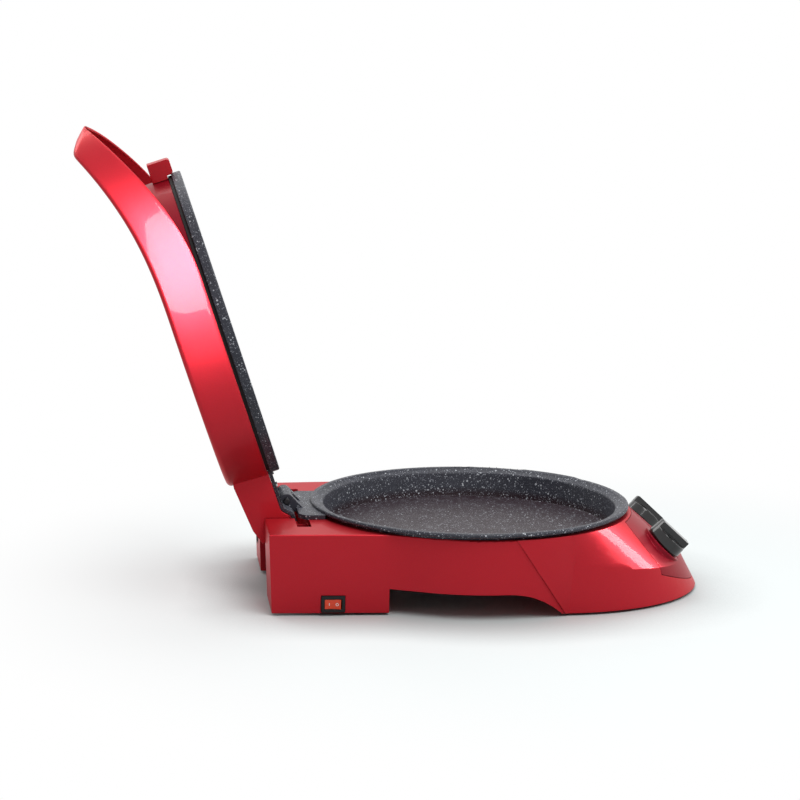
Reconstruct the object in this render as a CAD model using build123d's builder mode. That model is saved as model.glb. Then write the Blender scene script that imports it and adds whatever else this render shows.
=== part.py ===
from build123d import *
from math import cos, radians, sin, sqrt, tan
import os

os.makedirs("parts", exist_ok=True)

# Electric countertop cooker: a deep round lower pan in a moulded base, a flat round upper plate
# in a hinged lid with a wide raised front lip, and two knobs on a sloped nose. Millimetres.
# +X is the user's right, -Y the front with the knobs, +Y the hinge, +Z up. The origin is on the
# table under the centre of the pan. The lid's pieces are drawn closed, then turned open.

# General walls and fits
foot_height = 2.0
wall = 2.8
seam = 0.3
running_clearance = 0.05

# Lower pan
rim_radius = 156.0
rim_width = 7.0
rim_thickness = 4.1
rim_rise = 7.2
rim_throat = 12.8
pan_depth = 27.6
pan_floor_inset = 17.5
pan_floor_rounding = 4.0
pan_wall = 2.6
pan_base = 4.0
pan_clearance = 0.6

# Cast tongue of the pan and the hinge behind it
tongue_half_width = 55.0
tongue_end_half_width = 48.0
tongue_straight = 9.0
tongue_reach = 15.0
tongue_thickness = 4.4
hinge_reach = 24.7
hinge_rise = 10.9
open_angle = 108.46
pin_radius = 3.0
pin_half_length = 24.0
knuckle_radius = 7.0
centre_knuckle_half = 9.7
ear_gap = 0.3
ear_width = 12.0

# Base: deck, drum, flared sides, rear blocks and the arch beneath
deck_height = 77.4
deck_edge_radius = 1.6
deck_ring = 4.1
drum_centre_y = -5.0
base_draft = 3.0
flare_angle = 24.7
block_corner_inset = 59.0
block_narrowing = 34.3
block_inner_x = 48.1
block_rear_reach = 47.8
channel_reach = 6.0
wing_slot_width = 13.0
wing_slot_half_span = 84.0
arch_height = 25.0
arch_front_y = -14.0
ramp_foot_y = -70.0

# Nose of the base, which carries the knobs
nose_centre_y = -76.0
nose_overhang = 71.5
crease_overhang = 57.5
crease_drop = 29.0
crease_fall = 18.6
console_step = 1.5
nose_crown_step = 0.4
step_top_y = -22.0
step_foot_y = -73.0
nose_wall = 5.2

# Control panel let into the nose
panel_wall = 2.6
panel_ledge = 6.0
panel_setback = 2.0
panel_top_half_width = 70.0
panel_top_inset = 20.5
panel_side_margin = 34.0
panel_side_setback = 22.5
panel_chin_z = 7.5
panel_chin_rise = 22.5

# Knobs and the controls behind them
knob_spacing = 102.0
knob_setback = 28.3
knob_drop = 28.3
knob_slope = 43.0
knob_splay = 11.0
knob_gap = 0.6
knob_radius = 19.0
knob_draft = 0.8
knob_skirt = 11.0
knob_height = 17.2
knob_grip_width = 11.0
knob_bore_depth = 8.0
boss_radius = 21.5
boss_depth = 9.0
spindle_radius = 3.0
control_width = 30.0
control_length = 26.0
control_depth = 14.0
spindle_seat = 10.0

# Rocker switch in the left block and the cord's inlet in the right block
switch_setback = 60.0
switch_z = 10.8
bezel_length = 22.0
bezel_height = 15.6
bezel_proud = 1.2
bezel_sink = 1.6
rocker_length = 15.2
rocker_height = 9.0
rocker_depth = 7.0
rocker_dish = 0.6
rocker_taper = 2.6
rocker_swing = 12.0
rocker_pivot_radius = 1.0
rocker_pivot_length = 1.0
switch_frame = 1.6
switch_body_depth = 12.0
inlet_inset = 28.2
inlet_z = 30.0
inlet_radius = 6.5
inlet_flange = 9.5
inlet_proud = 5.0
inlet_bore = 3.6

# Bottom covers, feet and screws
cover_thickness = 2.5
drum_cover_inset = 42.5
drum_cover_margin = 7.75
cover_screw_inset = 6.0
drum_window_margin = 7.0
vent_length = 30.0
vent_width = 3.0
vent_pitch = 9.0
vent_count = 7
foot_radius = 9.0
foot_inset = 20.0
foot_spacing = 150.0
screw_boss_radius = 4.6
screw_boss_height = 26.0
screw_radius = 1.7
screw_head_radius = 3.3
screw_head_height = 1.5
screw_bite = 8.0
post_radius = 5.0
post_ring = 62.0

# Heating elements and reflectors
element_radius = 3.2
element_gap = 0.2
element_gap_angle = 30.0
element_lead = 4.2
terminal_radius = 2.0
lower_element_inset = 30.0
upper_element_inset = 34.0
reflector_sheet = 0.8
reflector_inset = 12.5
reflector_depth = 9.0
reflector_rim = 6.0

# Upper plate
plate_gap = 0.3
plate_overlap = 1.0
plate_rim_width = 4.5
plate_recess = 3.0
plate_thickness = 4.0
plate_depth = 9.1
gasket_inset = 2.0
gasket_width = 9.0
gasket_thickness = 3.3
upper_tongue_half_width = 44.0
upper_tongue_thickness = 3.3
upper_tongue_drop = 7.8
curl_start = 3.7
curl_length = 15.0
curl_flat = 5.0
curl_lean = 2.3
notch_start = 9.7
tongue_pad = 12.0

# Lid shell, with the wide front lip that serves as its handle
lid_overlap = 2.0
lid_wall = 2.5
lid_draft = 3.6
lid_rim_lift = 12.6
lid_top_lift = 52.4
lid_form_height = 84.0
lid_nose_overhang = 67.6
lip_rise_inset = 114.0
lip_mid_inset = 15.0
lip_mid_lift = 63.8
lip_crown_reach = 44.0
lip_crown_lift = 88.6
lip_tip_reach = 65.0
lip_tip_lift = 71.4
rim_rise_inset = 86.0
rim_mid_inset = 8.0
rim_mid_lift = 28.9
rim_late_reach = 33.0
rim_late_lift = 49.4

# Neck between lid and hinge, inner cover and catch
neck_half_width = 46.0
neck_wall = 3.0
neck_front_reach = 40.9
neck_top_front_reach = 47.7
neck_top_front_lift = 42.4
neck_crest_reach = 34.2
neck_crest_lift = 47.4
neck_shoulder_setback = 11.9
neck_shoulder_lift = 43.1
neck_rear_setback = 26.3
neck_rear_lift = 38.2
neck_heel_setback = 23.3
neck_heel_drop = 0.6
neck_rounding = 5.0
neck_screw_x = 33.0
neck_screw_reach = 20.7
cover_gap = 0.8
cover_wall = 2.2
cover_ring_width = 10.0
catch_half_width = 12.5
catch_depth = 18.0
catch_top_lift = 28.4
catch_foot_lift = 6.8
catch_rounding = 3.0

# Sizes that follow from the ones above
rim_height = deck_height + rim_rise
pan_floor_height = rim_height - pan_depth
pan_floor_radius = rim_radius - pan_floor_inset
throat_radius = rim_radius - rim_throat
pan_opening_radius = throat_radius + pan_wall + pan_clearance
pan_underside = pan_floor_height - pan_base
drum_radius = pan_opening_radius + deck_ring
drum_front_y = drum_centre_y - drum_radius
hinge_y = rim_radius + hinge_reach
hinge_z = deck_height + hinge_rise
channel_front_y = rim_radius + channel_reach
block_rear_y = rim_radius + block_rear_reach
block_corner_y = drum_radius - block_corner_inset
block_rear_half_width = drum_radius - block_narrowing
drum_cover_length = 2 * (drum_radius - drum_cover_inset)
drum_cover_width = block_corner_y - arch_front_y - 2 * drum_cover_margin
reflector_radius = pan_floor_radius - reflector_inset
lower_element_ring = reflector_radius - lower_element_inset
upper_element_ring = reflector_radius - upper_element_inset
crease_height = deck_height - crease_drop
ear_inner = centre_knuckle_half + ear_gap
nose_half_width = sqrt(
    (drum_radius - base_draft + console_step) ** 2 - (nose_centre_y - drum_centre_y) ** 2
)
nose_floor_length = nose_centre_y - drum_front_y + nose_overhang
nose_crease_length = nose_centre_y - drum_front_y + crease_overhang
cover_top_z = foot_height + cover_thickness
console_cover_inset = nose_wall + seam
panel_half_width = nose_half_width - panel_side_margin
panel_top_y = drum_front_y + panel_top_inset
panel_side_y = drum_front_y - panel_side_setback
switch_y = block_rear_y - switch_setback
inlet_x = block_rear_half_width - inlet_inset
console_taper = (nose_floor_length - nose_crease_length) / (crease_height - crease_fall - foot_height)
plate_radius = rim_radius - rim_width + plate_overlap
plate_rim_z = rim_height + plate_gap
plate_face_z = plate_rim_z + plate_recess
plate_back_z = plate_face_z + plate_thickness
plate_top_z = plate_rim_z + plate_depth
gasket_radius = plate_radius - gasket_inset
gasket_top_z = plate_top_z + gasket_thickness
upper_tongue_z = plate_top_z - 1.0
lid_radius = plate_radius + lid_overlap
lid_rim_z = rim_height + lid_rim_lift
lid_top_z = rim_height + lid_top_lift
lid_draft_rate = lid_draft / lid_form_height
cover_radius = lid_radius - lid_wall - lid_draft_rate * (lid_top_z - lid_rim_z) - cover_gap
cover_roof_z = lid_top_z - lid_wall - seam
hinge_axis = Axis((0, hinge_y, hinge_z), (1, 0, 0))
reach = 2 * rim_radius

# Outlines of the lid's lip, of its rim and of the neck
lip_rise_y = lip_rise_inset - lid_radius
lip_mid_y = lip_mid_inset - lid_radius
lip_mid_z = rim_height + lip_mid_lift
lip_crown_y = -lid_radius - lip_crown_reach
lip_crown_z = rim_height + lip_crown_lift
lip_tip_y = -lid_radius - lip_tip_reach
lip_tip_z = rim_height + lip_tip_lift
rim_rise_y = rim_rise_inset - lid_radius
rim_mid_y = rim_mid_inset - lid_radius
rim_mid_z = rim_height + rim_mid_lift
rim_late_y = -lid_radius - rim_late_reach
rim_late_z = rim_height + rim_late_lift
neck_front_y = hinge_y - neck_front_reach
neck_top_front_y = hinge_y - neck_top_front_reach
neck_top_front_z = rim_height + neck_top_front_lift
neck_crest_y = hinge_y - neck_crest_reach
neck_crest_z = rim_height + neck_crest_lift
neck_shoulder_y = hinge_y + neck_shoulder_setback
neck_shoulder_z = rim_height + neck_shoulder_lift
neck_rear_y = hinge_y + neck_rear_setback
neck_rear_z = rim_height + neck_rear_lift
neck_heel_y = hinge_y + neck_heel_setback
neck_heel_z = rim_height - neck_heel_drop
neck_screw_y = hinge_y - neck_screw_reach
catch_top_z = rim_height + catch_top_lift
catch_foot_z = rim_height + catch_foot_lift


def draft_at(height):
    """How far the base's outer walls stand in from the deck's outline at a height."""
    return base_draft * (deck_height - height) / (deck_height - foot_height)


def base_outline(height, inset):
    """Drum, flared sides and rear blocks in plan, moved in by an inset."""
    radius = drum_radius - inset
    flare = radians(flare_angle)
    tangent_x = radius * cos(flare)
    tangent_y = drum_centre_y + radius * sin(flare)
    corner_x = tangent_x - (block_corner_y - tangent_y) * tan(flare)
    rear_x = block_rear_half_width - inset
    rear_y = block_rear_y - inset
    with BuildSketch(Plane.XY.offset(height)) as outline:
        with BuildLine():
            Polyline(
                (tangent_x, tangent_y),
                (corner_x, block_corner_y),
                (rear_x, rear_y),
                (-rear_x, rear_y),
                (-corner_x, block_corner_y),
                (-tangent_x, tangent_y),
            )
            ThreePointArc(
                (-tangent_x, tangent_y), (0, drum_centre_y - radius), (tangent_x, tangent_y)
            )
        make_face()
    return outline.sketch


def base_drum(inset, floor, roof):
    """Solid of the drum and the blocks between two heights."""
    with BuildPart() as drum:
        loft(
            [
                base_outline(floor, inset + draft_at(floor)),
                base_outline(roof, inset + draft_at(roof)),
            ],
            ruled=True,
        )
    return drum.part


def half_ellipse(plane, half_width, length):
    """Front half of an ellipse, closed by a straight line behind."""
    with BuildSketch(plane) as section:
        with BuildLine():
            EllipticalCenterArc((0, 0), half_width, length, start_angle=180, arc_size=180)
            Line((half_width, 0), (-half_width, 0))
        make_face()
    return section.sketch


def nose_form(inset, floor):
    """Nose of the base between its floor, its crease and the deck, moved in by an inset."""
    crown_radius = drum_radius + console_step + nose_crown_step - inset
    crown_x = sqrt(crown_radius**2 - (nose_centre_y - drum_centre_y) ** 2)
    floor_plane = Plane((0, nose_centre_y, floor))
    crease_plane = Plane(
        origin=(0, nose_centre_y, crease_height - inset),
        x_dir=(1, 0, 0),
        z_dir=(0, -crease_fall / nose_crease_length, 1),
    )
    with BuildSketch(Plane.XY.offset(deck_height - inset)) as crown:
        with BuildLine():
            ThreePointArc(
                (-crown_x, nose_centre_y),
                (0, drum_centre_y - crown_radius),
                (crown_x, nose_centre_y),
            )
            Line((crown_x, nose_centre_y), (-crown_x, nose_centre_y))
        make_face()
    half_width = nose_half_width - inset
    with BuildPart() as nose:
        loft(
            [
                half_ellipse(floor_plane, half_width, nose_floor_length - inset),
                half_ellipse(crease_plane, half_width, nose_crease_length - inset),
                crown.sketch,
            ],
            ruled=True,
        )
    return nose.part


def step_form():
    """Front of the drum raised by the console's step, behind the nose."""
    with BuildPart() as step:
        add(base_drum(-console_step, foot_height, deck_height))
        with BuildSketch(Plane.YZ):
            with BuildLine():
                Polyline(
                    (step_top_y, deck_height),
                    (step_foot_y, foot_height),
                    (-reach, foot_height),
                    (-reach, deck_height),
                    close=True,
                )
            make_face()
        extrude(amount=reach, both=True, mode=Mode.INTERSECT)
    return step.part


def arch_form(margin):
    """Space under the drum, between the blocks and in the hinge channel, grown by a margin."""
    low = foot_height - 10
    side = block_inner_x + margin
    foot_y = ramp_foot_y - 1.4 * margin
    with BuildPart() as arch:
        with BuildSketch(Plane.YZ):
            with BuildLine():
                Polyline(
                    (foot_y, foot_height),
                    (foot_y, low),
                    (block_corner_y + margin, low),
                    (block_corner_y + margin, arch_height + margin),
                    (arch_front_y, arch_height + margin),
                )
                Spline(
                    (arch_front_y, arch_height + margin),
                    (foot_y, foot_height),
                    tangents=((-1, 0), (-1, -0.85)),
                )
            make_face()
        extrude(amount=reach, both=True)
        with BuildSketch(Plane.YZ):
            with Locations((channel_front_y, low)):
                Rectangle(reach, arch_height + margin - low, align=(Align.CENTER, Align.MIN))
            with Locations((block_corner_y, low)):
                Rectangle(
                    reach, arch_height + margin - low, align=(Align.MAX, Align.MIN), mode=Mode.SUBTRACT
                )
        extrude(amount=side, both=True)
        with BuildSketch(Plane.YZ):
            with Locations((channel_front_y - margin, low)):
                Rectangle(reach, reach, align=(Align.MIN, Align.MIN))
        extrude(amount=side, both=True)
    return arch.part


def panel_form(margin):
    """Block whose plan and front outline bound the control panel, grown by a margin."""
    top_half = panel_top_half_width + margin
    half = panel_half_width + margin
    with BuildPart() as block:
        with BuildSketch(Plane.XY):
            with BuildLine():
                Polyline(
                    (-top_half, panel_top_y),
                    (-half, panel_side_y),
                    (-half, -reach),
                    (half, -reach),
                    (half, panel_side_y),
                    (top_half, panel_top_y),
                    close=True,
                )
            make_face()
            with Locations((0, drum_centre_y)):
                Circle(drum_radius + console_step + panel_setback - margin, mode=Mode.SUBTRACT)
        extrude(amount=deck_height)
        with BuildSketch(Plane.XZ):
            with BuildLine():
                chin = ThreePointArc(
                    (-half, panel_chin_z + panel_chin_rise - margin),
                    (0, panel_chin_z - margin),
                    (half, panel_chin_z + panel_chin_rise - margin),
                )
                Polyline(chin @ 1, (half, deck_height), (-half, deck_height), chin @ 0)
            make_face()
        extrude(amount=reach, mode=Mode.INTERSECT)
    return block.part


def knob_plane(side):
    """Plane of a knob's seat on the sloped panel, with its normal splayed outwards."""
    slope = radians(knob_slope)
    seat = Plane(
        origin=(side * knob_spacing / 2, drum_front_y - knob_setback, deck_height - knob_drop),
        x_dir=(1, 0, 0),
        z_dir=(0, -sin(slope), cos(slope)),
    )
    return seat.rotated((0, side * knob_splay, 0))


def side_x_at(y, height):
    """Half width of a rear block's outer face at a depth and a height."""
    flare = radians(flare_angle)
    tangent_x = drum_radius * cos(flare)
    tangent_y = drum_centre_y + drum_radius * sin(flare)
    corner_x = tangent_x - (block_corner_y - tangent_y) * tan(flare)
    share = (y - block_corner_y) / (block_rear_y - block_corner_y)
    return corner_x + share * (block_rear_half_width - corner_x) - draft_at(height)


def block_screw_points():
    """Screw places along the outer walls of the rear blocks."""
    points = []
    for side in (-1, 1):
        for y in (block_corner_y + foot_inset, block_rear_y - foot_inset):
            x = side_x_at(y, foot_height) - wall - screw_head_radius - 2 * seam
            points.append((side * x, y))
    return points


def console_screw_points():
    """Screw places along the inner wall of the nose."""
    half_width = nose_half_width - nose_wall - 0.6 * screw_boss_radius
    length = nose_crease_length - nose_wall - 0.6 * screw_boss_radius
    x = half_width * cos(radians(45))
    y = nose_centre_y - length * sin(radians(45))
    return [(-x, y), (x, y)]


drum_cover_y = (arch_front_y + block_corner_y) / 2
drum_cover_screws = [
    (
        x * (drum_cover_length / 2 - cover_screw_inset),
        drum_cover_y + y * (drum_cover_width / 2 - cover_screw_inset),
    )
    for x in (-1, 1)
    for y in (-1, 1)
]
foot_points = [
    (side * (block_inner_x + block_rear_half_width) / 2, y)
    for side in (-1, 1)
    for y in (block_corner_y + foot_inset, block_rear_y - foot_inset)
] + [(side * foot_spacing / 2, nose_centre_y - nose_floor_length / 2) for side in (-1, 1)]

switch_x = side_x_at(switch_y, switch_z)
switch_seat_x = switch_x - bezel_sink
switch_plane = Plane(origin=(-switch_seat_x, switch_y, switch_z), x_dir=(0, -1, 0), z_dir=(-1, 0, 0))
rocker_pivot_depth = bezel_sink - rocker_pivot_radius
inlet_face_y = block_rear_y - draft_at(inlet_z + inlet_flange)
inlet_plane = Plane(origin=(inlet_x, inlet_face_y, inlet_z), x_dir=(-1, 0, 0), z_dir=(0, 1, 0))


# Moulded base housing: drum, blocks and nose in one hollow shell
with BuildPart() as base_hollow:
    add(base_drum(wall, foot_height - 1, deck_height - wall))
    add(nose_form(nose_wall, foot_height - 1))
    add(arch_form(wall), mode=Mode.SUBTRACT)

with BuildPart() as base_housing:
    add(base_drum(0, foot_height, deck_height))
    fillet(base_housing.faces().sort_by(Axis.Z)[-1].outer_wire().edges(), radius=deck_edge_radius)
    add(step_form())
    add(nose_form(0, foot_height))
    add(arch_form(0), mode=Mode.SUBTRACT)
    add(base_hollow.part, mode=Mode.SUBTRACT)
    with BuildSketch(Plane.XY.offset(deck_height)):
        Circle(pan_opening_radius)
    extrude(amount=-wall - nose_wall, mode=Mode.SUBTRACT)
    with BuildSketch(Plane.XY.offset(deck_height)):
        with Locations((0, channel_front_y)):
            Rectangle(2 * wing_slot_half_span, wing_slot_width, align=(Align.CENTER, Align.MIN))
    extrude(amount=-2 * wall, mode=Mode.SUBTRACT)
    with BuildSketch(Plane.XY.offset(arch_height)):
        with Locations((0, drum_cover_y)):
            RectangleRounded(
                drum_cover_length - 4 * drum_window_margin,
                drum_cover_width - 2 * drum_window_margin,
                radius=drum_window_margin,
            )
    extrude(amount=wall, mode=Mode.SUBTRACT)
    with BuildSketch(Plane.XY.offset(arch_height + wall)):
        with Locations(*drum_cover_screws):
            Circle(screw_boss_radius)
    extrude(amount=screw_bite)
    with BuildSketch(Plane.XY.offset(cover_top_z)):
        with Locations(*block_screw_points(), *console_screw_points()):
            Circle(screw_boss_radius)
    extrude(amount=screw_boss_height)
    with BuildSketch(Plane.XY.offset(cover_top_z)):
        with Locations(*block_screw_points(), *console_screw_points()):
            Circle(screw_radius)
    extrude(amount=screw_bite, mode=Mode.SUBTRACT)
    with BuildSketch(Plane.XY.offset(arch_height)):
        with Locations(*drum_cover_screws):
            Circle(screw_radius)
    extrude(amount=screw_bite, mode=Mode.SUBTRACT)

with BuildPart() as panel_recess:
    add(panel_form(seam))
    add(nose_form(panel_wall + seam, foot_height - 1), mode=Mode.SUBTRACT)

with BuildPart() as base_shell:
    add(base_housing.part)
    add(panel_recess.part, mode=Mode.SUBTRACT)
    add(panel_form(-panel_ledge), mode=Mode.SUBTRACT)
    with BuildSketch(switch_plane):
        Rectangle(bezel_length + 2 * seam, bezel_height + 2 * seam)
    extrude(amount=2 * bezel_sink, mode=Mode.SUBTRACT)
    with BuildSketch(switch_plane):
        Rectangle(
            rocker_length + 2 * switch_frame + 2 * seam, rocker_height + 2 * switch_frame + 2 * seam
        )
    extrude(amount=-switch_body_depth, mode=Mode.SUBTRACT)
    with BuildSketch(inlet_plane):
        Circle(inlet_radius)
    extrude(amount=-2 * wall, mode=Mode.SUBTRACT)
base_shell.part.label = "base_housing"
export_step(base_shell.part, "parts/base_housing.step")

# Control panel: a skin of the nose with round seats for the knobs
with BuildPart() as control_panel:
    add(nose_form(0, foot_height))
    add(panel_form(0), mode=Mode.INTERSECT)
    add(nose_form(panel_wall, foot_height - 1), mode=Mode.SUBTRACT)
    for side in (-1, 1):
        with BuildSketch(knob_plane(side).offset(-knob_gap)):
            Circle(boss_radius)
        extrude(amount=-boss_depth, taper=3)
        with BuildSketch(knob_plane(side).offset(-knob_gap)):
            Circle(spindle_radius + running_clearance)
        extrude(amount=-boss_depth, mode=Mode.SUBTRACT)
control_panel.part.label = "control_panel"
export_step(control_panel.part, "parts/control_panel.step")

# Bottom covers under the drum, the blocks and the nose
with BuildPart() as drum_cover:
    with BuildSketch(Plane.XY.offset(arch_height)):
        with Locations((0, drum_cover_y)):
            RectangleRounded(drum_cover_length, drum_cover_width, radius=2 * drum_window_margin)
    extrude(amount=-cover_thickness)
    with BuildSketch(Plane.XY.offset(arch_height)):
        with Locations((0, drum_cover_y)):
            with GridLocations(2 * vent_length, vent_pitch, 3, vent_count):
                SlotOverall(vent_length, vent_width)
    extrude(amount=-cover_thickness, mode=Mode.SUBTRACT)
    with BuildSketch(Plane.XY.offset(arch_height - cover_thickness)):
        with Locations(*drum_cover_screws):
            Circle(screw_radius + running_clearance)
    extrude(amount=cover_thickness, mode=Mode.SUBTRACT)
    with BuildSketch(Plane.XY.offset(arch_height)):
        with Locations(*[(x * post_ring, drum_cover_y) for x in (-1, 1)]):
            Circle(post_radius)
    extrude(amount=pan_underside - reflector_depth - arch_height)
drum_cover.part.label = "drum_cover"
export_step(drum_cover.part, "parts/drum_cover.step")

block_cover_outline = base_outline(foot_height, draft_at(foot_height) + wall + seam)
for side, cover_name in ((-1, "left_block_cover"), (1, "right_block_cover")):
    with BuildPart() as block_cover:
        extrude(block_cover_outline, amount=cover_thickness)
        with BuildSketch(Plane.XY.offset(foot_height)):
            with Locations((side * (block_inner_x + wall + seam), block_corner_y + wall + seam)):
                Rectangle(reach, reach, align=(Align.MIN if side > 0 else Align.MAX, Align.MIN))
        extrude(amount=cover_thickness, mode=Mode.INTERSECT)
        with BuildSketch(Plane.XY.offset(foot_height)):
            with Locations(*block_screw_points()):
                Circle(screw_head_radius + running_clearance)
        extrude(amount=screw_head_height, mode=Mode.SUBTRACT)
        with BuildSketch(Plane.XY.offset(foot_height)):
            with Locations(*block_screw_points()):
                Circle(screw_radius + running_clearance)
        extrude(amount=cover_thickness, mode=Mode.SUBTRACT)
    block_cover.part.label = cover_name
    export_step(block_cover.part, f"parts/{cover_name}.step")

with BuildPart() as console_cover:
    extrude(
        half_ellipse(
            Plane((0, nose_centre_y, foot_height)),
            nose_half_width - console_cover_inset,
            nose_floor_length - console_cover_inset - console_taper * (cover_thickness + 2),
        ),
        amount=cover_thickness,
    )
    with BuildSketch(Plane.XY.offset(foot_height)):
        with Locations(*console_screw_points()):
            Circle(screw_head_radius + running_clearance)
    extrude(amount=screw_head_height, mode=Mode.SUBTRACT)
    with BuildSketch(Plane.XY.offset(foot_height)):
        with Locations(*console_screw_points()):
            Circle(screw_radius + running_clearance)
    extrude(amount=cover_thickness, mode=Mode.SUBTRACT)
console_cover.part.label = "console_cover"
export_step(console_cover.part, "parts/console_cover.step")

# Feet under the covers
for number, (x, y) in enumerate(foot_points, start=1):
    with BuildPart() as foot:
        with BuildSketch(Plane.XY):
            with Locations((x, y)):
                Circle(foot_radius)
        extrude(amount=foot_height)
        chamfer(foot.faces().sort_by(Axis.Z)[0].edges(), length=foot_height / 3)
    foot.part.label = f"foot_{number}"
    export_step(foot.part, f"parts/foot_{number}.step")

# Screws of the covers, heads down
screw_seats = [(x, y, foot_height + screw_head_height) for x, y in block_screw_points()]
screw_seats += [(x, y, foot_height + screw_head_height) for x, y in console_screw_points()]
screw_seats += [(x, y, arch_height - cover_thickness) for x, y in drum_cover_screws]
for number, (x, y, seat_z) in enumerate(screw_seats, start=1):
    with BuildPart() as screw:
        with BuildSketch(Plane.XY.offset(seat_z)):
            with Locations((x, y)):
                Circle(screw_head_radius)
        extrude(amount=-screw_head_height)
        with BuildSketch(Plane.XY.offset(seat_z)):
            with Locations((x, y)):
                Circle(screw_radius)
        extrude(amount=screw_bite)
    screw.part.label = f"cover_screw_{number}"
    export_step(screw.part, f"parts/cover_screw_{number}.step")

# Lower pan: a deep round dish with a rolled lip, a cast tongue and two hinge ears
with BuildPart() as lower_pan:
    with BuildSketch(Plane.XZ) as pan_section:
        with BuildLine():
            bead = ThreePointArc(
                (rim_radius - rim_thickness / 2, rim_height),
                (rim_radius, rim_height - rim_thickness / 2),
                (rim_radius - rim_thickness / 2, rim_height - rim_thickness),
            )
            Polyline(
                bead @ 1,
                (throat_radius + pan_wall, rim_height - rim_thickness),
                (pan_floor_radius + pan_wall, pan_underside),
                (0, pan_underside),
                (0, pan_floor_height),
                (pan_floor_radius, pan_floor_height),
                (throat_radius, rim_height - rim_thickness),
                (rim_radius - rim_width, rim_height),
                bead @ 0,
            )
        make_face()
        floor_corner = pan_section.vertices().sort_by_distance((pan_floor_radius, 0, pan_floor_height))
        fillet(floor_corner[0], radius=pan_floor_rounding)
    revolve(axis=Axis.Z)
    with BuildSketch(Plane.XY.offset(deck_height)) as tongue_plan:
        with BuildLine():
            Polyline(
                (-tongue_half_width, throat_radius + pan_wall),
                (tongue_half_width, throat_radius + pan_wall),
                (tongue_half_width, rim_radius + tongue_straight),
                (tongue_end_half_width, rim_radius + tongue_reach),
                (-tongue_end_half_width, rim_radius + tongue_reach),
                (-tongue_half_width, rim_radius + tongue_straight),
                close=True,
            )
        make_face()
    extrude(amount=tongue_thickness)
    for side in (-1, 1):
        with BuildSketch(Plane.YZ.offset(side * ear_inner)):
            with Locations((hinge_y, hinge_z)):
                Circle(knuckle_radius)
            with BuildLine():
                Polyline(
                    (rim_radius + tongue_straight, deck_height),
                    (rim_radius + tongue_straight, deck_height + tongue_thickness),
                    (hinge_y - 0.87 * knuckle_radius, hinge_z + 0.5 * knuckle_radius),
                    (hinge_y, hinge_z),
                    (hinge_y + 0.34 * knuckle_radius, hinge_z - 0.94 * knuckle_radius),
                    (rim_radius + tongue_reach, deck_height),
                    close=True,
                )
            make_face()
        extrude(amount=side * ear_width)
    with BuildSketch(Plane.YZ):
        with Locations((hinge_y, hinge_z)):
            Circle(pin_radius)
    extrude(amount=pin_half_length, both=True, mode=Mode.SUBTRACT)
lower_pan.part.label = "lower_pan"
export_step(lower_pan.part, "parts/lower_pan.step")

# Hinge pin, fast in the pan's ears and loose in the upper plate's knuckle
with BuildPart() as hinge_pin:
    with BuildSketch(Plane.YZ):
        with Locations((hinge_y, hinge_z)):
            Circle(pin_radius)
    extrude(amount=pin_half_length, both=True)
    chamfer(hinge_pin.edges().filter_by(GeomType.CIRCLE), length=pin_radius / 5)
hinge_pin.part.label = "hinge_pin"
export_step(hinge_pin.part, "parts/hinge_pin.step")


def element_form(ring_radius, centre_z, lead):
    """Tubular heating element: an open ring whose two ends turn off the plate."""
    with BuildPart() as element:
        with BuildSketch(Plane.XZ):
            with Locations((ring_radius, centre_z)):
                Circle(element_radius)
        revolve(axis=Axis.Z, revolution_arc=360 - element_gap_angle)
        ends = (0, element_gap_angle - 360)
        for angle in ends:
            x = ring_radius * cos(radians(angle))
            y = ring_radius * sin(radians(angle))
            with BuildSketch(Plane.XY.offset(centre_z)):
                with Locations((x, y)):
                    Circle(terminal_radius)
            extrude(amount=lead)
    return element.part


def reflector_form(rim_z, depth):
    """Shallow sheet dish behind a heating element; a positive depth opens downwards."""
    turn = 1 if depth > 0 else -1
    sheet = turn * reflector_sheet
    inner = reflector_radius - reflector_rim
    with BuildPart() as reflector:
        with BuildSketch(Plane.XZ):
            with BuildLine():
                Polyline(
                    (0, rim_z + depth),
                    (inner - abs(depth), rim_z + depth),
                    (inner, rim_z + sheet),
                    (reflector_radius, rim_z + sheet),
                    (reflector_radius, rim_z),
                    (inner - 0.5 * reflector_sheet, rim_z),
                    (inner - abs(depth) - 0.5 * reflector_sheet, rim_z + depth - sheet),
                    (0, rim_z + depth - sheet),
                    close=True,
                )
            make_face()
        revolve(axis=Axis.Z)
    return reflector.part


# Heating element and reflector under the pan
lower_element_z = pan_underside - element_gap - element_radius
lower_element = element_form(lower_element_ring, lower_element_z, -element_lead)
lower_element.label = "lower_heating_element"
export_step(lower_element, "parts/lower_heating_element.step")

lower_reflector = reflector_form(pan_underside, -reflector_depth)
lower_reflector.label = "lower_reflector"
export_step(lower_reflector, "parts/lower_reflector.step")

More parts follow.
